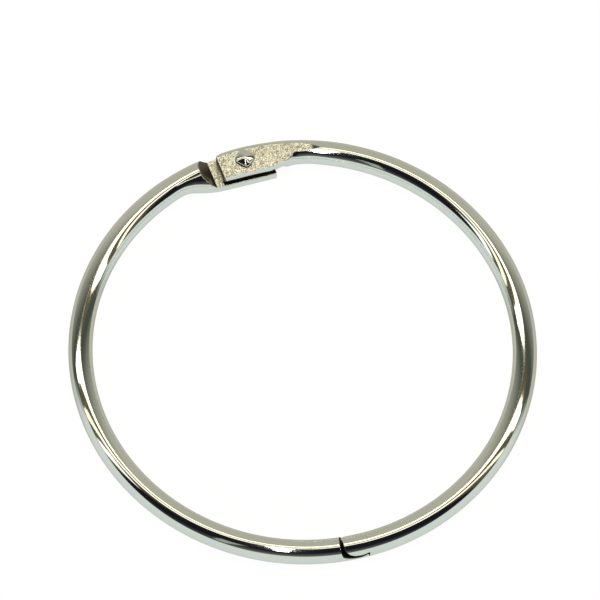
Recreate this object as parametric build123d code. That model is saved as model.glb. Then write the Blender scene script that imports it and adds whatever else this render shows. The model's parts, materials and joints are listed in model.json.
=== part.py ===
from build123d import *
import os
from math import asin, degrees, radians, sqrt, tan

# A loose-leaf binder ring: two half rings of bent wire, joined by a rivet at the hinge and by a
# hooked half-lap at the closure. Millimetres, +Z up, the closed ring lying flat.
# The origin is the ring's centre on the plane that the wire lies on. The hinge is at +Y.
# Both halves are built about the wire's mid-plane and lifted by the wire's radius at the end.

# The ring
inner_diameter = 50.0
wire_diameter = 2.9

# The hinge tangs, stacked one on the other: sizes from the rivet's axis
rivet_inset = 0.71          # how far inside the wire's centreline the rivet stands
tang_length = 3.15          # to the tang's free end
tang_outer = 1.76           # to the tang's outer wall
tang_corner = 0.45          # radius of the free end's corners
tip_fall = 0.4              # how far the outer wall has fallen back at the free end
tang_edge = 0.2             # rounding of the tang's long edge
tang_gap = 0.06             # running gap between the two tangs
coin_depth = 0.1            # how far the tang's flat face lies below the wire
coin_length = 7.5           # from the rivet to where the flat face starts to run out
coin_run_out = 3.0
outer_blend_length = 5.0    # from the rivet to where the outer wall meets the wire

# The shoulder beside each tang
shoulder_clearance = 1.1    # bare flat between a tang's free end and the other half's ramp
ramp_angle = 45.0
bulge_edge = 1.0

# The forging widens the wire inwards, on the tang's own side and on its ramp's side. Each is the
# inner wall's distance from the rivet, how far the wall runs straight past the rivet, and how far
# it is from the rivet to where the wall has run into the round wire.
upper_tang = {"tang_side": (2.0, 1.4, 7.2), "ramp_side": (1.65, 4.6, 7.8)}
lower_tang = {"tang_side": (2.25, 5.5, 9.0), "ramp_side": (2.2, 5.0, 8.8)}

# The rivet
shank_diameter = 1.7
shank_clearance = 0.04      # radial, in the upper tang that turns on it
shank_interference = 0.01   # radial, in the lower tang that holds it
head_width = 1.95           # across the flats of the square peened head
head_corner = 0.4
head_height = 0.65
head_top_width = 1.35
head_crown = 0.25           # rounding of the head's top edge
head_gap = 0.03             # under the peened head
foot_diameter = 2.9         # countersunk factory head, in the lower tang
foot_depth = 0.4
foot_clearance = 0.02

# The closure, sizes along the wire
closure_lean = 2.0          # degrees that the closure stands off the point opposite the hinge
lap_length = 3.1
lap_gap = 0.08              # between the two laps' flat faces
nose_gap = 0.35             # between a lap's nose and the other half's shoulder
nose_radius = 0.8           # of the upper lap's tip, seen from the side
notch_radius = 1.0          # of the shoulder's corner that faces it
square_corner = 0.2         # of the lower lap's tip and of the shoulder that faces it
hook_height = 0.32
hook_length = 0.45
hook_gap = 0.06
hook_edge = 0.12
coined_length = 2.9         # narrowed wire, each way from the middle of the closure
coined_depth = 0.1

wire_radius = wire_diameter / 2
ring_radius = inner_diameter / 2 + wire_radius
rivet_radius = ring_radius - rivet_inset
tang_top = wire_radius - coin_depth
ramp_foot = tang_length + shoulder_clearance
far = 4 * wire_diameter     # long enough to cut right through the wire


def on_ring(x, radius):
    """The point at x on a circle about the ring's centre, on the hinge side."""
    return (x, sqrt(radius**2 - x**2))


def wire_arc(start, end):
    """Round wire along the ring's circle between two angles, in degrees."""
    section = Plane.XZ * Pos(ring_radius, 0) * Circle(wire_radius)
    return Rot(0, 0, start) * revolve(section, Axis.Z, end - start)


def prism_across(points, y_from, y_to):
    """An outline of (x, z) points, carried along Y."""
    outline = Plane.XZ * make_face(Polyline(*points, close=True))
    return Pos(0, y_to, 0) * extrude(outline, y_to - y_from)


def widened_pad(inner, wall_length, root_length, edge):
    """The metal that the forging pushed inside the wire, as a plate on the mid-plane."""
    wall_y = rivet_radius - inner
    wall_end = (wall_length, wall_y)
    root = on_ring(root_length, ring_radius - wire_radius / 2)
    back = on_ring(root_length, ring_radius)
    front = on_ring(-tang_length, ring_radius)
    corner = (-tang_length, wall_y)
    outline = [
        Polyline(front, corner, wall_end),
        Spline(wall_end, root, tangents=[(1, 0), (1, 0.1)]),
        Line(root, back),
        ThreePointArc(back, (0, ring_radius), front),
    ]
    pad = extrude(make_face(outline), tang_top)
    long_edges = pad.faces().sort_by(Axis.Z)[-1].edges().sort_by(Axis.Y)[:2]
    return fillet(long_edges, edge)


def tang_trim(inner):
    """What lies outside a tang's outer wall and past its free end, seen from above."""
    low = rivet_radius - inner
    high = rivet_radius + tang_outer
    tip = (-tang_length, high - tip_fall)
    end = on_ring(outer_blend_length, ring_radius + wire_radius)
    around = [
        end,
        (end[0], end[1] + far),
        (-far, end[1] + far),
        (-far, low - far),
        (0, low - far),
        (0, low),
        (-tang_length, low),
        tip,
    ]
    trim = make_face([ThreePointArc(tip, (0, high), end), Polyline(*around)])
    corners = trim.vertices().filter_by_position(Axis.X, -tang_length, -tang_length)
    trim = fillet(corners, tang_corner)
    return Pos(0, 0, -far / 2) * extrude(trim, far)


def half_ring(tang, closure_angle, hole_radius, hooked):
    """One half of the ring, with its tang and its closing lap above the mid-plane."""
    lap_angle = degrees(lap_length / ring_radius)
    tang_angle = 90 + degrees(asin((tang_length + wire_radius) / ring_radius))
    half = wire_arc(closure_angle - lap_angle, tang_angle)
    half += widened_pad(*tang["tang_side"], tang_edge)
    half += mirror(widened_pad(*tang["ramp_side"], bulge_edge), Plane.XY)
    half -= tang_trim(tang["tang_side"][0])
    half -= coined_top()
    half -= below_tang()
    half -= Pos(0, rivet_radius, 0) * Cylinder(hole_radius, far)
    at_closure = Rot(0, 0, closure_angle) * Pos(ring_radius, 0, 0) * Rot(0, 0, 90)
    half -= at_closure * below_lap(hooked)
    half -= coined_sides(closure_angle)
    if hooked:
        half += at_closure * hook()
    return half


def coined_top():
    """The metal above the flat face of the tang."""
    points = [
        (-far, tang_top),
        (coin_length, tang_top),
        (coin_length + coin_run_out, wire_radius),
        (coin_length + coin_run_out, far),
        (-far, far),
    ]
    return prism_across(points, rivet_radius - far, rivet_radius + far)


def below_tang():
    """The metal under the tang, back to the ramp."""
    ramp_run = far / tan(radians(ramp_angle))
    points = [
        (-far, tang_gap / 2),
        (ramp_foot, tang_gap / 2),
        (ramp_foot + ramp_run, -far),
        (-far, -far),
    ]
    return prism_across(points, rivet_radius - far, rivet_radius + far)


def below_lap(hooked):
    """What the other half's lap fills, and the space past this lap's tip. X runs along the wire."""
    tip = -lap_length / 2
    root = lap_length / 2 + nose_gap
    flat = lap_gap / 2
    tip_radius = square_corner if hooked else nose_radius
    corner_radius = notch_radius if hooked else square_corner
    points = [(tip, far), (tip, flat), (root, flat), (root, -far), (-far, -far), (-far, far)]
    tool = extrude(Plane.XZ * make_face(Polyline(*points, close=True)), far / 2, both=True)
    corners = tool.edges().filter_by(Axis.Y).filter_by_position(Axis.Z, 0, 2 * flat).sort_by(Axis.X)
    tool = fillet(corners[-1], corner_radius)
    corners = tool.edges().filter_by(Axis.Y).filter_by_position(Axis.Z, 0, 2 * flat).sort_by(Axis.X)
    tool = fillet(corners[0], tip_radius)
    if hooked:
        return tool
    pocket = Pos(lap_length / 2 + hook_gap, 0, 0) * Box(
        hook_length + 2 * hook_gap,
        far,
        2 * (hook_height + hook_gap),
        align=(Align.MAX, Align.CENTER, Align.CENTER),
    )
    return tool + pocket


def coined_sides(closure_angle):
    """The thin slices that coining takes off the wire's outer and inner sides."""
    span = 2 * degrees(coined_length / ring_radius)
    start = closure_angle - span / 2
    outer = ring_radius + wire_radius - coined_depth
    inner = ring_radius - wire_radius + coined_depth
    outside = Plane.XZ * Pos(outer + wire_radius / 2, 0) * Rectangle(wire_radius, far)
    inside = Plane.XZ * Pos(inner - wire_radius / 2, 0) * Rectangle(wire_radius, far)
    return Rot(0, 0, start) * revolve(outside + inside, Axis.Z, span)


def hook():
    """The raised lip at the tip of a lap, standing past the mid-plane. X runs along the wire."""
    across = wire_diameter - 2 * coined_depth
    lip = Pos(-lap_length / 2, 0, lap_gap / 2 + hook_edge) * Box(
        hook_length, across, hook_height + hook_edge, align=(Align.MIN, Align.CENTER, Align.MAX)
    )
    return fillet(lip.edges().filter_by(Axis.Y).group_by(Axis.Z)[0], hook_edge)


def rivet():
    """Countersunk foot, shank and peened square head, standing on the mid-plane's frame."""
    foot_base = -tang_top
    foot_top = foot_base + foot_depth
    seat = tang_top + head_gap
    shank = Pos(0, 0, foot_base) * Cylinder(
        shank_diameter / 2, seat - foot_base, align=(Align.CENTER, Align.CENTER, Align.MIN)
    )
    foot = Pos(0, 0, foot_base) * countersink(0)
    base = RectangleRounded(head_width, head_width, head_corner)
    shrink = head_top_width / head_width
    top = RectangleRounded(head_top_width, head_top_width, head_corner * shrink)
    head = loft([base, Pos(0, 0, head_height) * top])
    head = fillet(head.edges().group_by(Axis.Z)[-1], head_crown)
    head = Pos(0, 0, seat) * Rot(0, 0, 45) * head
    return Pos(0, rivet_radius, 0) * (shank + foot + head)


def countersink(clearance):
    """The cone that the rivet's foot fills, from the tang's lower face upwards."""
    wide = foot_diameter / 2 + clearance
    narrow = shank_diameter / 2 - shank_interference
    return Cone(wide, narrow, foot_depth, align=(Align.CENTER, Align.CENTER, Align.MIN))


def turned_over(half):
    """A half built with its tang on top, turned so that the tang is below."""
    return Rot(0, 180, 0) * half


os.makedirs("parts", exist_ok=True)
shank_radius = shank_diameter / 2
right = half_ring(upper_tang, -90 - closure_lean, shank_radius + shank_clearance, False)
left = turned_over(half_ring(lower_tang, -90 + closure_lean, shank_radius - shank_interference, True))
left -= Pos(0, rivet_radius, -tang_top) * countersink(foot_clearance)
export_step(Pos(0, 0, wire_radius) * right, "parts/right_half_ring.step")
export_step(Pos(0, 0, wire_radius) * left, "parts/left_half_ring.step")
export_step(Pos(0, 0, wire_radius) * rivet(), "parts/hinge_rivet.step")
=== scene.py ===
import json
import math

import bpy
import numpy as np
from mathutils import Matrix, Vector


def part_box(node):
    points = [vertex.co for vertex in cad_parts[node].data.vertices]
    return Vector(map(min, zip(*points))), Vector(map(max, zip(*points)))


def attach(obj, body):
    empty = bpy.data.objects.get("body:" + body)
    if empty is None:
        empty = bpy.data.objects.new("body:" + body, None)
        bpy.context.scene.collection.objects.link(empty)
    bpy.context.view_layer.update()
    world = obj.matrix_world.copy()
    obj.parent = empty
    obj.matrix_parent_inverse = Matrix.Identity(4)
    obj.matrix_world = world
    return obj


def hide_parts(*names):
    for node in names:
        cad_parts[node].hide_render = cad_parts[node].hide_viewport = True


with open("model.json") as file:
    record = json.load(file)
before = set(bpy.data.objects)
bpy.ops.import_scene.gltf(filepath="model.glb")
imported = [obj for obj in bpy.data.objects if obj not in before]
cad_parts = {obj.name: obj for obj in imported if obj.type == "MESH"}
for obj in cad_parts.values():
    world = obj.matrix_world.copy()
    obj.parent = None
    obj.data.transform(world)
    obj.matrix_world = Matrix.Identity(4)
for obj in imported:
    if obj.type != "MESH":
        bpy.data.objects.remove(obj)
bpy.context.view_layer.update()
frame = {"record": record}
record = frame["record"]
mm = 0.001

# sizes the CAD part already fixes
sheetWire = record["mounts"][0]
hinge = record["behaviour"]["joints"][0]
ringRadius = sheetWire["pos_m"][0] / mm      # to the wire's centreline
wireRadius = sheetWire["dims"]["r_mm"]
rivetY = hinge["pos_m"][1] / mm
midHeight = hinge["pos_m"][2] / mm           # the plane the two halves share
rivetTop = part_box("hinge_rivet")[1].z / mm
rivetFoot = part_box("hinge_rivet")[0].z / mm


# eases 0 to 1 between two values, flat at both ends
def easeBetween(low, high, x):
    t = np.clip((x - low) / (high - low), 0.0, 1.0)
    return t * t * (3.0 - 2.0 * t)


# a smooth line through a short list of (place, value) pairs: cubic pieces whose slopes at each
# pair are the harmonic mean of the two neighbouring slopes, or level where those disagree
def smoothLine(pairs, x):
    px, py = np.array(pairs, float).T
    step = np.diff(px)
    rise = np.diff(py) / step
    slope = np.zeros_like(px)
    same = rise[:-1] * rise[1:] > 0
    mean = 2 * rise[:-1] * rise[1:] / np.where(same, rise[:-1] + rise[1:], 1)
    slope[1:-1] = np.where(same, mean, 0)
    x = np.clip(x, px[0], px[-1])
    i = np.clip(np.searchsorted(px, x, side="right") - 1, 0, len(step) - 1)
    t = (x - px[i]) / step[i]
    return (
        (1 + 2 * t) * (1 - t) ** 2 * py[i] + t * (1 - t) ** 2 * step[i] * slope[i]
        + t * t * (3 - 2 * t) * py[i + 1] - t * t * (1 - t) * step[i] * slope[i + 1]
    )


# a closed skin over rows of points: row i is a loop, each row joins the next, and each end row
# joins one middle point. Faces come out with the normal outside when the volume is positive.
def skinOfRows(name, rows, firstTip, lastTip, layers=None):
    count, around = rows.shape[:2]
    points = np.vstack([rows.reshape(-1, 3), firstTip, lastTip]) * mm
    i, j = np.meshgrid(np.arange(count - 1), np.arange(around), indexing="ij")
    k = (j + 1) % around
    quads = np.stack([i * around + j, i * around + k, (i + 1) * around + k, (i + 1) * around + j],
                     -1).reshape(-1, 4)
    ring = np.arange(around)
    after = (ring + 1) % around
    tipA, tipB = count * around, count * around + 1
    lastRow = (count - 1) * around
    capA = np.stack([np.full(around, tipA), after, ring], 1)
    capB = np.stack([np.full(around, tipB), lastRow + ring, lastRow + after], 1)
    triangles = np.vstack([quads[:, [0, 1, 2]], quads[:, [0, 2, 3]], capA, capB])
    p, q, r = (points[triangles[:, n]] for n in range(3))
    if np.einsum("ij,ij->i", p, np.cross(q, r)).sum() < 0:
        quads, capA, capB = quads[:, ::-1], capA[:, ::-1], capB[:, ::-1]
    faces = quads.tolist() + capA.tolist() + capB.tolist()
    mesh = bpy.data.meshes.new(name)
    mesh.from_pydata(points.tolist(), [], faces)
    mesh.polygons.foreach_set("use_smooth", np.ones(len(faces), bool))
    for key, (values, firstValue, lastValue) in (layers or {}).items():
        layer = mesh.attributes.new(key, "FLOAT", "POINT")
        layer.data.foreach_set("value", np.append(values.ravel(), [firstValue, lastValue]))
    mesh.update()
    piece = bpy.data.objects.new(name, mesh)
    bpy.context.scene.collection.objects.link(piece)
    return piece


# Each half is drawn with its tang and its closing lap on the upper side, the tang's free end at
# minus x. Places are along the wire in mm from the rivet, or from the middle of the closure.
halfShared = {
    "coinDepth": 0.1,            # the tang's flat lies this far below the top of the wire
    "coinRunOut": (7.1, 9.6),    # the flat fades into the round between these
    "coinGrain": (6.9, 8.8),     # and its grain between these
    "squeezed": 0.09,            # the wire is narrower by this near the closure
    "squeezedLength": 2.85,
    "closureLength": 2.2,        # the lap's own part of the wire, from the middle of the closure
    "closureEdge": 0.14,         # rounding along the lap's edges
    "outerEase": 0.08,           # rounding where the tang's outer wall meets the round wire
    "tipEase": (0.05, 0.09),     # the free end's top drops by this, over this length
    "straight": (5.5, 11.0),     # the half leaves its straight hinge for the ring between these
    "slant": 0.088,              # the tangs' ends and ramps lean by this share across the wire
    "slantEnd": (6.5, 4.4),      # and stop leaning between these
    "noseAcross": (-0.1, -1.0),  # the nose's longer side comes in between these across the wire
    "noseAlong": (0.7, 1.3),     # and these along it, from the middle of the closure
    "gapLine": (0.08, 0.13),     # the painted shadow of the running gap starts this far in from its edge
    "gapLineEnd": (0.8, 0.6),    # and ends this far in
    "gapShort": 0.9,             # and this far short of the ramp
    "rampLine": (4.26, 4.3),     # the ramp's painted dark reflection comes in between these
    "rampLineEnd": (5.9, 5.5),   # and ends between these
    "closureLine": (1.3, 0.9),   # the closure's painted shade comes in with the height of the lap's lower side
    # how dark the closure's painted shade is
    "closureShade": 0.9,
    "shearedLength": 0.04,       # the free end's sheared face, and its painted shade
    "shearedShade": 0.8,
    "sideSteps": 28,
    "flatSteps": 26,
    "hingeEnd": 10.0,            # stations stand close together up to here
    "wireStep": 0.27,
    "hingeStep": 0.06,
    "closureStep": 0.05,
}
rightHalf = {
    "closureAngle": 182.0,       # from the rivet round to the closure, degrees
    "pointed": 0.34,             # the nose is longer by this on its inner side
    "freeEnd": 3.24,
    "freeCorner": 0.36,          # rounding of the free end's inner corner, seen from above
    "edge": 0.17,                # rounding along the tang's mating edge
    # painted shade: the shadow in the running gap and the dark reflection on the ramp
    "gapShade": 1.0,
    "rampShade": 0.6,
    # reach towards the ring's middle, and how square that side is above and below the mid-plane
    "inner": [(-3.3, 2.52), (-1.5, 2.64), (0, 2.67), (1.5, 2.64), (2.6, 2.56), (3.2, 2.40),
              (3.6, 2.2), (4.6, 1.91), (5.4, 1.71), (6.4, 1.55), (8.0, 1.45)],
    "square": [(1.2, 15), (2.5, 12), (3.6, 12), (4.7, 8), (5.3, 4), (5.8, 2.5), (6.4, 2)],
    "squareBelow": [(4.25, 2.0), (8.0, 2.0)],
    "outer": [(-3.2, 0.82), (-2.4, 0.98), (0, 1.05), (2.5, 1.08), (4.0, 1.2), (5.4, 1.5)],
    "ramp": [(4.25, 0.03), (5.73, -1.45)],      # (place, height) of its foot and its top
    # the lower side of the closing lap: (place, height), from the wire to the tip
    "lap": [(1.27, -1.45), (1.28, -0.4), (1.32, 0.36), (1.23, 0.45), (1.02, 0.42), (0.78, 0.31),
            (0.5, 0.21), (0.2, 0.22), (-0.1, 0.27), (-0.5, 0.38), (-0.88, 0.55), (-1.18, 0.77),
            (-1.38, 0.98), (-1.5, 1.14), (-1.55, 1.3)],
}
leftHalf = {
    "closureAngle": 178.0,
    "pointed": 0.0,
    "freeEnd": 3.16,
    "freeCorner": 0.14,
    "edge": 0.05,
    # painted shade: the shadow in the running gap and the dark reflection on the ramp
    "gapShade": 1.0,
    "rampShade": 0.6,
    "inner": [(-3.2, 2.82), (-1.5, 2.97), (0, 3.01), (1.5, 2.97), (3.0, 2.84), (4.25, 2.64),
              (5.0, 2.44), (6.0, 2.06), (7.0, 1.74), (8.2, 1.52), (9.5, 1.45)],
    "square": [(3.0, 15), (5.0, 9), (6.2, 5), (7.4, 2.6), (8.6, 2)],
    "squareBelow": [(4.25, 1.65), (5.4, 1.8), (6.6, 2.0)],
    "outer": [(-3.2, 0.82), (-2.4, 0.98), (0, 1.05), (3.0, 1.0), (4.25, 0.98), (5.2, 1.15),
              (6.4, 1.5)],
    "ramp": [(4.25, 0.03), (5.73, -1.45)],
    "lap": [(2.03, -1.45), (1.99, -1.16), (1.84, -0.74), (1.6, -0.42), (1.28, -0.2),
            (0.8, 0.0), (0.35, 0.1), (0.0, 0.13), (-0.3, 0.11), (-0.56, 0.04), (-0.8, -0.12),
            (-1.0, -0.26), (-1.12, -0.26), (-1.17, -0.12), (-1.19, 0.5), (-1.22, 1.3)],
}


# a drawn line with its corners cut twice: each corner gives way to two points a quarter of the way
# along the runs beside it
def easedLine(points):
    a = np.array(points)
    for _ in range(2):
        quarter, rest = 0.75 * a[:-1] + 0.25 * a[1:], 0.25 * a[:-1] + 0.75 * a[1:]
        a = np.vstack([a[:1], np.stack([quarter, rest], 1).reshape(-1, 2)[1:-1], a[-1:]])
    return a.tolist()


# the stations along a half: places and the height below which the metal is cut away, evenly
# spaced along the drawn underside, closer together at the hinge and at the closure
def stationsOf(half):
    d = halfShared
    length = math.radians(half["closureAngle"]) * ringRadius
    lap = easedLine([(length - t, z) for t, z in half["lap"]])
    closureStart = length - d["squeezedLength"] - 0.5
    flat = half["ramp"][0][1]
    end = [(-half["freeEnd"] + e, flat) for e in (0.0, 0.02, 0.05, 0.1, 0.17, 0.26, 0.36, 0.48)]
    runs = [
        (end + half["ramp"] + [(d["hingeEnd"], -wireRadius)], d["hingeStep"]),
        ([(d["hingeEnd"], -wireRadius), (closureStart, -wireRadius)], d["wireStep"]),
        ([(closureStart, -wireRadius)] + lap, d["closureStep"]),
    ]
    places = []
    for line, step in runs:
        a = np.array(line)
        along = np.append(0, np.cumsum(np.hypot(*np.diff(a, axis=0).T)))
        t = np.linspace(0, along[-1], max(2, int(along[-1] / step)))
        t = np.union1d(np.round(t, 5), np.round(along, 5))
        t = t[np.append(True, np.diff(t) > 0.008)]
        places.append(np.stack([np.interp(t, along, a[:, 0]), np.interp(t, along, a[:, 1])], 1))
    s = np.vstack([places[0], places[1][1:], places[2][1:]])
    return s[:, 0], s[:, 1], length


# One half of the ring. Across each station the section runs up its outer side, over the top,
# down its inner side and back along the underside. A side's reach at height z is
# reach * (1 - |z / wireRadius| ^ square) ^ (1 / square), which is a circle when square is 2 and
# a wall as it grows. The top is cut flat by the coin, the underside by the tang, ramp or lap.
def halfSurface(name, half, turned):
    d = halfShared
    place, cut, length = stationsOf(half)
    s, cut = place[:, None], cut[:, None]
    top = wireRadius - d["coinDepth"] * (1 - easeBetween(*d["coinRunOut"], s))
    cornerAngle = math.asin((wireRadius - d["coinDepth"]) / wireRadius)

    # rounded corners of the free end, seen from above
    fromEnd = np.clip(s + half["freeEnd"], 0, None)
    corner = half["freeCorner"]
    toCorner = np.clip(corner - fromEnd, 0, None)
    roundIn = corner - np.sqrt(np.clip(corner ** 2 - toCorner ** 2, 0, None))
    inner = smoothLine(half["inner"], s) - roundIn
    outer = smoothLine(half["outer"], s) - 0.8 * roundIn
    squareIn = smoothLine(half["square"], s)
    squareBelow = smoothLine(half["squareBelow"], s)
    top = top - d["tipEase"][0] * np.clip(1 - fromEnd / d["tipEase"][1], 0, 1)

    # how rounded the cut's edge is
    fromMiddle = length - s
    inLap = fromMiddle < d["closureLength"]
    edge = np.where(inLap, d["closureEdge"], half["edge"]) * (cut > -wireRadius * 0.98)
    low = np.clip(cut + edge, -wireRadius * math.sin(cornerAngle), None)
    low = np.minimum(low, top - 0.02)
    f = np.linspace(0, 1, d["sideSteps"] + 1)[None]
    lowAngle = np.arcsin(low / wireRadius)
    height = wireRadius * np.sin(lowAngle + f * (cornerAngle - lowAngle))
    height = np.minimum(height, top)

    def reach(z, extent, square):
        z = np.abs(z) / wireRadius
        return extent * (1 - np.minimum(z, 1) ** square) ** (1 / square)

    # squeezed wire near the closure
    narrow = d["squeezed"] * (1 - easeBetween(d["squeezedLength"] - 0.12, d["squeezedLength"],
                                              fromMiddle))

    # the lesser of two reaches, with the corner between them eased over a short way
    def meet(first, second, ease=d["outerEase"]):
        near = np.clip(ease - np.abs(first - second), 0, None)
        return np.minimum(first, second) - near * near / (4 * ease)

    outSide = np.minimum(meet(reach(height, wireRadius, 2.0), outer), wireRadius - narrow)
    inSide = np.where(height > 0, reach(height, inner, squareIn), reach(height, inner, squareBelow))
    inSide = np.where(inner > wireRadius + 1e-6, inSide, np.minimum(inSide, wireRadius - narrow))

    # top and underside, closer together near their edges
    g = (1 - np.cos(np.linspace(0, math.pi, d["flatSteps"] + 1)[1:-1]))[None] / 2
    topAcross = outSide[:, -1:] * (1 - g) - inSide[:, -1:] * g
    dome = np.where(topAcross > 0, reach(topAcross, wireRadius, 2.0),
                    wireRadius * (1 - np.clip(-topAcross / inner, 0, 1) ** squareIn)
                    ** (1 / squareIn))
    topHeight = np.minimum(dome, top)
    lowAcross = -inSide[:, :1] * (1 - g) + outSide[:, :1] * g
    away = np.minimum(inSide[:, :1] + lowAcross, outSide[:, :1] - lowAcross)
    bend = edge - np.sqrt(np.clip(edge ** 2 - np.clip(edge - away, 0, None) ** 2, 0, None))
    lowHeight = np.maximum(cut + bend, -reach(np.clip(lowAcross, -1.4, 1.4), wireRadius, 2.0))

    across = np.hstack([outSide, topAcross, -inSide[:, ::-1], lowAcross])
    height = np.hstack([height, topHeight, height[:, ::-1], lowHeight])

    # straight across the tang, radial along the rest of the ring
    straightY = np.sqrt(np.clip(ringRadius ** 2 - s ** 2, 0, None)) + across
    nose = easeBetween(*d["noseAcross"], across) * easeBetween(*d["noseAlong"], s - length)
    reachOn = half["pointed"] * nose
    turn = (s + reachOn) / ringRadius
    w = easeBetween(*d["straight"], s)
    side = -1.0 if turned else 1.0
    lean = side * d["slant"] * across * easeBetween(*d["slantEnd"], np.abs(s))
    x = (1 - w) * (s - lean) + w * (ringRadius + across) * np.sin(turn)
    y = (1 - w) * straightY + w * (ringRadius + across) * np.cos(turn)
    rows = np.stack([side * x, y, midHeight + side * height], -1)

    # the pressed flats: the tang's top and the flat it turns on
    columns = np.arange(across.shape[1])[None]
    steps, flats = d["sideSteps"] + 1, d["flatSteps"] - 1
    onTop = (columns >= steps - 1) & (columns <= steps + flats)
    onFlat = columns >= 2 * steps + flats
    pressed = onTop * (1 - easeBetween(*d["coinGrain"], s))
    pressed = np.maximum(pressed, onFlat * (s < half["ramp"][0][0] + 0.01))
    # painted shade, up to 0.5 for a brown shade and on to 1 for black: the shadow along the running
    # gap, the dark reflection on the ramp, the shade on the sheared ends and inside the closure
    hinged = s < half["ramp"][0][0] - d["gapShort"]
    fromRim = inSide[:, :1] + lowAcross
    line = easeBetween(*d["gapLine"], fromRim) * easeBetween(*d["gapLineEnd"], fromRim)
    hidden = onFlat * np.hstack([np.zeros_like(across[:, :-flats]), line])
    # painted shadow in the running gap, then painted dark reflection on the ramp, painted shade in
    # the closure and on the sheared ends
    paintedShade = hidden * hinged * half["gapShade"]
    ramped = easeBetween(*d["rampLine"], s) * easeBetween(*d["rampLineEnd"], s)
    paintedShade = np.maximum(paintedShade, onFlat * ramped * half["rampShade"])
    seam = onFlat * inLap * easeBetween(*d["closureLine"], np.abs(cut))
    paintedShade = np.maximum(paintedShade, seam * d["closureShade"])
    paintedShade = np.maximum(paintedShade, (fromEnd < d["shearedLength"]) * d["shearedShade"])
    pressed = pressed * (fromEnd >= d["shearedLength"])
    layers = {"coined": (pressed, 0, 0), "paintedShade": (paintedShade, d["shearedShade"], d["closureShade"])}
    piece = skinOfRows(name, rows, rows[0].mean(0), rows[-1].mean(0), layers)
    print(f"{name}: {rows.shape[0]} stations of {rows.shape[1]} points")
    return piece


rivet = {
    "shankRadius": 0.86,
    "footRadius": 1.44,
    "footDepth": 0.4,
    "headGap": 0.03,         # between the tang and the head
    "headHalf": 1.04,        # half the width across the flats of the peened head
    # the head from its rim to its crown: (share of its height, share of its half width)
    "head": [(0, 0.95), (0.06, 0.99), (0.2, 1.0), (0.42, 0.96), (0.62, 0.83), (0.8, 0.55),
             (0.93, 0.3), (0.985, 0.12), (1, 0.0)],
    "lean": 0.08,            # the peened crown sits off centre, towards the ring's middle
    "squareness": (4.0, 2.6),    # at the rim and at the crown
    "rimShade": (0.36, 0.2),     # painted contact shadow: the head's rim is black below this share of its height
    "headRows": 34,
    "around": 96,
}


# The rivet is rows of rounded squares stacked upwards, from its foot to its crown. A point at angle
# a on a row of half width h lies at h / (|cos a|^n + |sin a|^n)^(1/n): n is 2 for a round row and
# grows for a square one. The rim of the head carries a painted contact shadow.
def rivetSurface(name):
    d = rivet
    headBase = midHeight + wireRadius - halfShared["coinDepth"] + d["headGap"]
    rise = rivetTop - headBase
    up = np.linspace(0, 1, d["headRows"])
    head = smoothLine(d["head"], up) * d["headHalf"]
    foot, shank = d["footRadius"], d["shankRadius"]
    rows = [(rivetFoot, 0.3, 2), (rivetFoot, 0.9, 2), (rivetFoot + 0.01, foot - 0.05, 2),
            (rivetFoot + 0.05, foot, 2), (rivetFoot + 0.08, foot, 2),
            (rivetFoot + d["footDepth"], shank, 2), (headBase - 0.05, shank, 2),
            (headBase, shank, 2)]
    first, last = d["squareness"]
    rows += [(headBase + rise * v, max(h, 0.02), first + (last - first) * v)
             for v, h in zip(up, head)]
    z, half, square = (np.array(column)[:, None] for column in zip(*rows))
    angle = np.linspace(0, 2 * math.pi, d["around"], endpoint=False)[None]
    cosA, sinA = np.abs(np.cos(angle)), np.abs(np.sin(angle))
    radius = half / (cosA ** square + sinA ** square) ** (1 / square)
    turned = angle + math.pi / 4
    lean = d["lean"] * np.clip((z - headBase - 0.1) / rise, 0, None)
    x, y = radius * np.cos(turned), rivetY - lean + radius * np.sin(turned)
    stack = np.stack([x, y, np.broadcast_to(z, x.shape)], -1)
    # painted contact shadow along the head's rim
    rim = easeBetween(*d["rimShade"], (z - headBase) / rise) * (z >= headBase)
    layers = {"paintedShade": (np.broadcast_to(rim, x.shape), 0, 0)}
    piece = skinOfRows(name, stack, stack[0].mean(0), stack[-1].mean(0), layers)
    print(f"{name}: {stack.shape[0]} rows of {stack.shape[1]} points")
    return piece


rightRing = halfSurface("rightHalfRing", rightHalf, False)
leftRing = halfSurface("leftHalfRing", leftHalf, True)
rivetPiece = rivetSurface("hingeRivet")


def addNode(tree, kind, place=(0, 0), **settings):
    made = tree.nodes.new(kind)
    made.location = place
    for key, value in settings.items():
        setattr(made, key, value)
    return made


def mathNode(tree, operation, first, second=None, clamp=False):
    made = addNode(tree, "ShaderNodeMath", operation=operation, use_clamp=clamp)
    for socket, value in zip(made.inputs, (first, second)):
        if value is None:
            continue
        if isinstance(value, (int, float)):
            socket.default_value = value
        else:
            tree.links.new(value, socket)
    return made.outputs[0]


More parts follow.
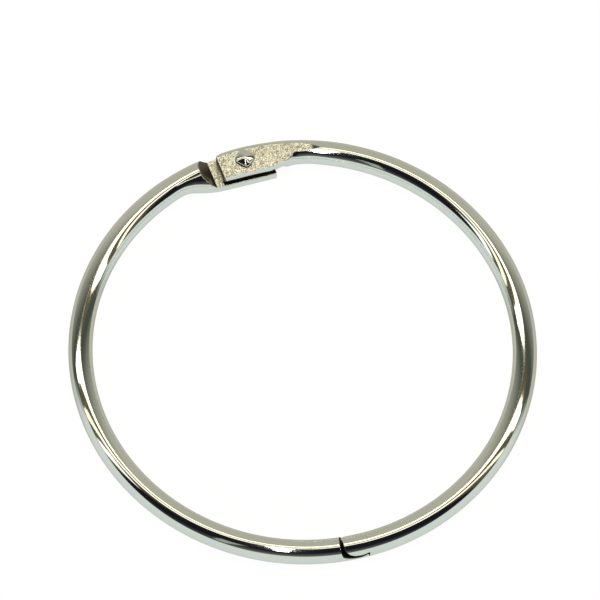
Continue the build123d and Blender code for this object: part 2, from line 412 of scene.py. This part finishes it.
# Plate grain, shared by both finishes: fine pits and faint long ripples from two noises, put out
# as a height for the bump and as a mask for roughness and colour.
def plateGrainGroup():
    group = bpy.data.node_groups.new("plateGrain", "ShaderNodeTree")
    group.interface.new_socket("Vector", in_out="INPUT", socket_type="NodeSocketVector")
    for name in ("Pit Scale", "Ripple Scale", "Ripple Share"):
        group.interface.new_socket(name, in_out="INPUT", socket_type="NodeSocketFloat")
    for name in ("Height", "Mask"):
        group.interface.new_socket(name, in_out="OUTPUT", socket_type="NodeSocketFloat")
    into = addNode(group, "NodeGroupInput", (-600, 0))
    out = addNode(group, "NodeGroupOutput", (500, 0))
    pits = addNode(group, "ShaderNodeTexNoise", (-300, 120))
    pits.inputs["Detail"].default_value = 3.0
    pits.inputs["Roughness"].default_value = 0.62
    ripple = addNode(group, "ShaderNodeTexNoise", (-300, -160))
    ripple.inputs["Detail"].default_value = 2.0
    ripple.inputs["Distortion"].default_value = 0.4
    group.links.new(into.outputs["Vector"], pits.inputs["Vector"])
    group.links.new(into.outputs["Vector"], ripple.inputs["Vector"])
    group.links.new(into.outputs["Pit Scale"], pits.inputs["Scale"])
    group.links.new(into.outputs["Ripple Scale"], ripple.inputs["Scale"])
    both = addNode(group, "ShaderNodeMix", (100, 0))
    group.links.new(into.outputs["Ripple Share"], both.inputs["Factor"])
    group.links.new(pits.outputs["Fac"], both.inputs["A"])
    group.links.new(ripple.outputs["Fac"], both.inputs["B"])
    group.links.new(both.outputs["Result"], out.inputs["Height"])
    group.links.new(pits.outputs["Fac"], out.inputs["Mask"])
    return group


brightPlate = {
    "darkColor": (0.61, 0.625, 0.575, 1),
    "paleColor": (0.69, 0.70, 0.65, 1),
    "roughness": (0.03, 0.085),
    "edgeTint": (0.80, 0.79, 0.78, 1),
    "pitScale": 5200.0,
    "rippleScale": 260.0,
    "rippleShare": 0.5,
    "depth": 0.0000012,
}
coinedPlate = {
    "darkColor": (0.27, 0.225, 0.13, 1),
    "paleColor": (1.0, 0.985, 0.88, 1),
    "roughness": (0.50, 0.28),
    "grainScale": 7600.0,
    "clumpScale": 2660.0,
    "clumpShare": 0.3,
    "spotStart": 0.40,
    "spotSharpness": 6.5,
    "depth": 0.00003,
}
# colours of the painted shade: a brown shade, then black
shadeCoat = {
    "brownShadeColor": (0.20, 0.165, 0.135, 1),
    "darkColor": (0.012, 0.011, 0.010, 1),
    "roughness": 0.5,
}
rivetPlate = {
    "darkColor": (0.60, 0.60, 0.55, 1),
    "paleColor": (0.70, 0.70, 0.64, 1),
    "roughness": (0.05, 0.11),
    "edgeTint": (0.80, 0.79, 0.78, 1),
    "pitScale": 6000.0,
    "rippleScale": 900.0,
    "rippleShare": 0.4,
    "depth": 0.000002,
}
grainGroup = plateGrainGroup()


def mixColor(tree, factor, first, second):
    made = addNode(tree, "ShaderNodeMix", data_type="RGBA")
    tree.links.new(factor, made.inputs["Factor"])
    for socket, value in ((made.inputs["A"], first), (made.inputs["B"], second)):
        if isinstance(value, tuple):
            socket.default_value = value
        else:
            tree.links.new(value, socket)
    return made.outputs["Result"]


def mixValue(tree, factor, first, second):
    made = addNode(tree, "ShaderNodeMix")
    tree.links.new(factor, made.inputs["Factor"])
    for socket, value in ((made.inputs["A"], first), (made.inputs["B"], second)):
        if isinstance(value, (int, float)):
            socket.default_value = value
        else:
            tree.links.new(value, socket)
    return made.outputs["Result"]


def plateMaterial(name, plate, coined=None):
    material = bpy.data.materials.new(name)
    material.use_nodes = True
    tree = material.node_tree
    shader = tree.nodes["Principled BSDF"]
    shader.inputs["Metallic"].default_value = 1.0
    shader.inputs["Specular Tint"].default_value = plate["edgeTint"]
    coords = addNode(tree, "ShaderNodeTexCoord", (-900, 0))
    grain = addNode(tree, "ShaderNodeGroup", (-650, 200), node_tree=grainGroup)
    tree.links.new(coords.outputs["Object"], grain.inputs["Vector"])
    grain.inputs["Pit Scale"].default_value = plate["pitScale"]
    grain.inputs["Ripple Scale"].default_value = plate["rippleScale"]
    grain.inputs["Ripple Share"].default_value = plate["rippleShare"]
    color = mixColor(tree, grain.outputs["Mask"], plate["darkColor"], plate["paleColor"])
    roughness = mixValue(tree, grain.outputs["Mask"], *plate["roughness"])
    height = mathNode(tree, "MULTIPLY", grain.outputs["Height"], plate["depth"])
    if coined:
        mask = addNode(tree, "ShaderNodeAttribute", (-900, -300), attribute_name="coined")
        mask = mask.outputs["Fac"]
        press = addNode(tree, "ShaderNodeGroup", (-650, -200), node_tree=grainGroup)
        tree.links.new(coords.outputs["Object"], press.inputs["Vector"])
        press.inputs["Pit Scale"].default_value = coined["grainScale"]
        press.inputs["Ripple Scale"].default_value = coined["clumpScale"]
        press.inputs["Ripple Share"].default_value = coined["clumpShare"]
        spots = mathNode(tree, "SUBTRACT", press.outputs["Height"], coined["spotStart"])
        spots = mathNode(tree, "MULTIPLY", spots, coined["spotSharpness"], clamp=True)
        rough = mixColor(tree, spots, coined["darkColor"], coined["paleColor"])
        color = mixColor(tree, mask, color, rough)
        pressRoughness = mixValue(tree, spots, *coined["roughness"])
        roughness = mixValue(tree, mask, roughness, pressRoughness)
        pressHeight = mathNode(tree, "MULTIPLY", press.outputs["Height"], coined["depth"])
        height = mixValue(tree, mask, height, pressHeight)
    # the first half of the painted shade layer browns the metal, the second half blackens it
    shadeLayer = addNode(tree, "ShaderNodeAttribute", (-900, -500), attribute_name="paintedShade")
    brownShaded = mathNode(tree, "MULTIPLY", shadeLayer.outputs["Fac"], 2.0, clamp=True)
    black = mathNode(tree, "SUBTRACT", mathNode(tree, "MULTIPLY", shadeLayer.outputs["Fac"], 2.0), 1.0,
                     clamp=True)
    color = mixColor(tree, black, mixColor(tree, brownShaded, color, shadeCoat["brownShadeColor"]),
                     shadeCoat["darkColor"])
    roughness = mixValue(tree, brownShaded, roughness, shadeCoat["roughness"])
    bump = addNode(tree, "ShaderNodeBump", (-200, -300))
    bump.inputs["Distance"].default_value = 1.0
    tree.links.new(height, bump.inputs["Height"])
    tree.links.new(color, shader.inputs["Base Color"])
    tree.links.new(roughness, shader.inputs["Roughness"])
    tree.links.new(bump.outputs["Normal"], shader.inputs["Normal"])
    return material


nickelPlate = plateMaterial("nickelPlate", brightPlate, coinedPlate)
polishedRivet = plateMaterial("polishedRivet", rivetPlate)
rightRing.data.materials.append(nickelPlate)
leftRing.data.materials.append(nickelPlate)
rivetPiece.data.materials.append(polishedRivet)
print("finishes made")


studio = {
    "turn": -18.0,           # the camera stands this far round from straight in front, degrees
    "elevation": 63.8,
    "roll": 2.5,
    "distance": 0.9005,
    "lens": 454.0,
    "sensor": 36.0,
    "lift": 0.005877,        # the aim lies above and left of the ring's middle, in the picture
    "left": 0.00033,
    "ceiling": 1.0,
}
turn = math.radians(studio["turn"])
pitch = math.radians(studio["elevation"])
roll = math.radians(studio["roll"])
rightWay = np.array([math.cos(turn), math.sin(turn), 0.0])
awayWay = np.array([-math.sin(turn), math.cos(turn), 0.0])
lookWay = math.cos(pitch) * awayWay - math.sin(pitch) * np.array([0, 0, 1.0])
upWay = np.cross(rightWay, lookWay)
cameraRight = math.cos(roll) * rightWay + math.sin(roll) * upWay
cameraUp = -math.sin(roll) * rightWay + math.cos(roll) * upWay


def addCamera():
    d = studio
    camera = bpy.data.objects.new("camera", bpy.data.cameras.new("camera"))
    camera.data.sensor_width = d["sensor"]
    camera.data.lens = d["lens"]
    camera.data.clip_start = 0.01
    camera.data.clip_end = 20.0
    aim = np.array([0, 0, midHeight * mm]) + d["lift"] * cameraUp - d["left"] * cameraRight
    eye = aim - d["distance"] * lookWay
    matrix = np.eye(4)
    matrix[:3, 0], matrix[:3, 1], matrix[:3, 2] = cameraRight, cameraUp, -lookWay
    matrix[:3, 3] = eye
    camera.matrix_world = Matrix(matrix)
    bpy.context.scene.collection.objects.link(camera)
    bpy.context.scene.camera = camera


# long tubes under the ceiling: each from one point to another, as (right, away) shares of the
# ceiling height above the ring
warm, cool = (1.0, 0.96, 0.78), (0.88, 0.95, 1.0)
tubes = {
    "tubeFarLeft": {"from": (-1.4, 0.50), "to": (0.02, 0.395), "width": 0.15, "glow": 2.7,
                    "color": warm},
    "tubeFarRight": {"from": (0.02, 0.335), "to": (1.8, 0.27), "width": 0.18, "glow": 2.7,
                     "color": warm},
    "tubeNearLeft": {"from": (-2.2, 0.15), "to": (0.02, 0.15), "width": 0.15, "glow": 1.6,
                     "color": warm},
    "tubeNearRight": {"from": (0.02, 0.07), "to": (2.2, -0.13), "width": 0.13, "glow": 1.7,
                      "color": warm},
    "panelLeft": {"from": (-2.3, -0.30), "to": (-0.7, -0.10), "width": 0.22, "glow": 1.7,
                  "color": cool},
    "panelLow": {"from": (-0.8, -1.5), "to": (-0.3, -0.6), "width": 0.14, "glow": 0.45,
                 "color": (0.9, 1.0, 0.8)},
    "strip": {"from": (-0.026, 0.02), "to": (-0.052, -0.58), "width": 0.045, "glow": 12.0,
              "color": (1.0, 0.97, 1.0)},
}


def addTube(name, d):
    height = studio["ceiling"]
    start, end = (height * (p[0] * rightWay + p[1] * awayWay) for p in (d["from"], d["to"]))
    along = end - start
    long = float(np.linalg.norm(along))
    light = bpy.data.lights.new(name, "AREA")
    light.shape = "RECTANGLE"
    light.size = long
    light.size_y = d["width"] * height
    light.energy = d["glow"] * math.pi * long * light.size_y
    light.color = d["color"]
    lamp = bpy.data.objects.new(name, light)
    middle = (start + end) / 2 + np.array([0, 0, height])
    matrix = np.eye(4)
    matrix[:3, 0] = along / long
    matrix[:3, 2] = [0, 0, 1]
    matrix[:3, 1] = np.cross([0, 0, 1], along / long)
    matrix[:3, 3] = middle
    lamp.matrix_world = Matrix(matrix)
    bpy.context.scene.collection.objects.link(lamp)


paleFloor = {
    "size": 4.0,
    "cells": 4,
    "color": (0.86, 0.89, 0.90, 1),
    "glow": 1.06,
    "glowShare": 0.9,        # the rest of it takes the object's shadow
}


def addFloor():
    d = paleFloor
    n = d["cells"] + 1
    line = np.linspace(-d["size"] / 2, d["size"] / 2, n)
    x, y = np.meshgrid(line, line, indexing="ij")
    points = np.stack([x, y, np.zeros_like(x)], -1).reshape(-1, 3)
    i, j = np.meshgrid(np.arange(n - 1), np.arange(n - 1), indexing="ij")
    corner = (i * n + j).ravel()
    faces = np.stack([corner, corner + n, corner + n + 1, corner + 1], 1)
    mesh = bpy.data.meshes.new("floor")
    mesh.from_pydata(points.tolist(), [], faces.tolist())
    floor = bpy.data.objects.new("floor", mesh)
    bpy.context.scene.collection.objects.link(floor)
    material = bpy.data.materials.new("paleFloor")
    material.use_nodes = True
    tree = material.node_tree
    tree.nodes.clear()
    out = addNode(tree, "ShaderNodeOutputMaterial", (600, 0))
    paper = addNode(tree, "ShaderNodeBsdfDiffuse", (0, 100))
    paper.inputs["Color"].default_value = d["color"]
    glow = addNode(tree, "ShaderNodeEmission", (0, -100))
    glow.inputs["Strength"].default_value = d["glow"]
    path = addNode(tree, "ShaderNodeLightPath", (-600, 0))
    seen = mathNode(tree, "ADD", path.outputs["Is Camera Ray"],
                    path.outputs["Is Transmission Ray"], clamp=True)
    share = mathNode(tree, "MULTIPLY", seen, d["glowShare"])
    both = addNode(tree, "ShaderNodeMixShader", (200, 0))
    tree.links.new(share, both.inputs[0])
    tree.links.new(paper.outputs[0], both.inputs[1])
    tree.links.new(glow.outputs[0], both.inputs[2])
    # a mirror looks through the floor to the table drawn into the room below
    through = addNode(tree, "ShaderNodeBsdfTransparent", (200, -200))
    last = addNode(tree, "ShaderNodeMixShader", (400, 0))
    tree.links.new(path.outputs["Is Glossy Ray"], last.inputs[0])
    tree.links.new(both.outputs[0], last.inputs[1])
    tree.links.new(through.outputs[0], last.inputs[2])
    tree.links.new(last.outputs[0], out.inputs["Surface"])
    floor.data.materials.append(material)
    print("floor made")


# The room above the table, worked out on a flat ceiling: right and away are shares of the ceiling
# height. A dark corner lies towards the camera, the lamps hang over the ring, dark walls stand to
# both sides and a pale wall beyond. A pale table spreads below.
room = {
    "lampLine": 0.49,        # the lamps' far edge
    "darkStart": 0.15,       # the dark corner's edge overhead, and how it falls to the sides
    "darkFall": 0.46,
    "darkBend": 0.78,
    "darkColor": (0.012, 0.013, 0.020, 1),
    "hazeColor": (0.26, 0.28, 0.25, 1),     # the dark corner pales towards the table
    "hazeStart": (-0.7, -2.6),
    "hazeWidth": (1.9, 0.4),
    "ceilingColor": (0.15, 0.125, 0.075, 1),
    "ceilingEnd": (1.3, 2.2),
    "sideColor": (0.085, 0.10, 0.08, 1),
    "wallColor": (0.62, 0.605, 0.52, 1),
    "sideAngle": (0.18, 0.85),
    "sweepHeight": 0.33,     # the pale table seems to rise to this towards the camera
    "nearTable": (0.9, 0.98, 0.96, 1),
    "farTable": (0.70, 0.70, 0.62, 1),
}


def addRoom():
    world = bpy.data.worlds.new("room")
    bpy.context.scene.world = world
    world.use_nodes = True
    tree = world.node_tree
    tree.nodes.clear()
    out = addNode(tree, "ShaderNodeOutputWorld", (900, 0))
    background = addNode(tree, "ShaderNodeBackground", (700, 0))
    tree.links.new(background.outputs[0], out.inputs["Surface"])
    coords = addNode(tree, "ShaderNodeTexCoord", (-900, 0))

    def along(way):
        dot = addNode(tree, "ShaderNodeVectorMath", operation="DOT_PRODUCT")
        tree.links.new(coords.outputs["Generated"], dot.inputs[0])
        dot.inputs[1].default_value = tuple(way)
        return dot.outputs["Value"]

    def do(operation, first, second=None, clamp=False):
        return mathNode(tree, operation, first, second, clamp)

    # 0 to 1 as value goes from low to high
    def rise(value, low, high):
        return do("DIVIDE", do("SUBTRACT", value, low), high - low, True)

    d = room
    right, away, up = along(rightWay), along(awayWay), along((0, 0, 1))
    height = do("MAXIMUM", up, 0.03)
    across = do("ABSOLUTE", do("DIVIDE", right, height))
    beyond = do("DIVIDE", away, height)
    fall = do("MULTIPLY", do("POWER", across, d["darkBend"]), d["darkFall"])
    overDark = do("SUBTRACT", do("ADD", beyond, fall), d["darkStart"])
    lit = rise(overDark, -0.04, 0.10)
    haze = do("MULTIPLY", rise(beyond, *d["hazeStart"]), rise(across, *d["hazeWidth"]))
    corner = mixColor(tree, haze, d["darkColor"], d["hazeColor"])
    ceiling = mixColor(tree, rise(across, *d["ceilingEnd"]), d["ceilingColor"], d["sideColor"])
    overhead = mixColor(tree, lit, corner, ceiling)
    slope = do("ARCTAN2", do("SUBTRACT", beyond, d["lampLine"]), do("ADD", across, 0.02))
    side = mixColor(tree, rise(slope, *d["sideAngle"]), d["sideColor"], d["wallColor"])
    whole = mixColor(tree, rise(slope, -0.02, 0.02), overhead, side)
    whole = mixColor(tree, rise(up, 0.02, -0.05), whole, d["farTable"])
    low = rise(up, d["sweepHeight"] + 0.06, d["sweepHeight"])
    sweep = do("MULTIPLY", low, rise(away, 0.25, 0.0))
    tree.links.new(mixColor(tree, sweep, whole, d["nearTable"]), background.inputs["Color"])
    background.inputs["Strength"].default_value = 1.0


addCamera()
addFloor()
addRoom()
for tubeName, tube in tubes.items():
    addTube(tubeName, tube)
bpy.context.scene.view_settings.view_transform = "Standard"
print("camera and studio made")

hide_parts("right_half_ring")
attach(rightRing, "right_half")
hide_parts("left_half_ring")
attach(leftRing, "left_half")
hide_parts("hinge_rivet")
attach(rivetPiece, "left_half")
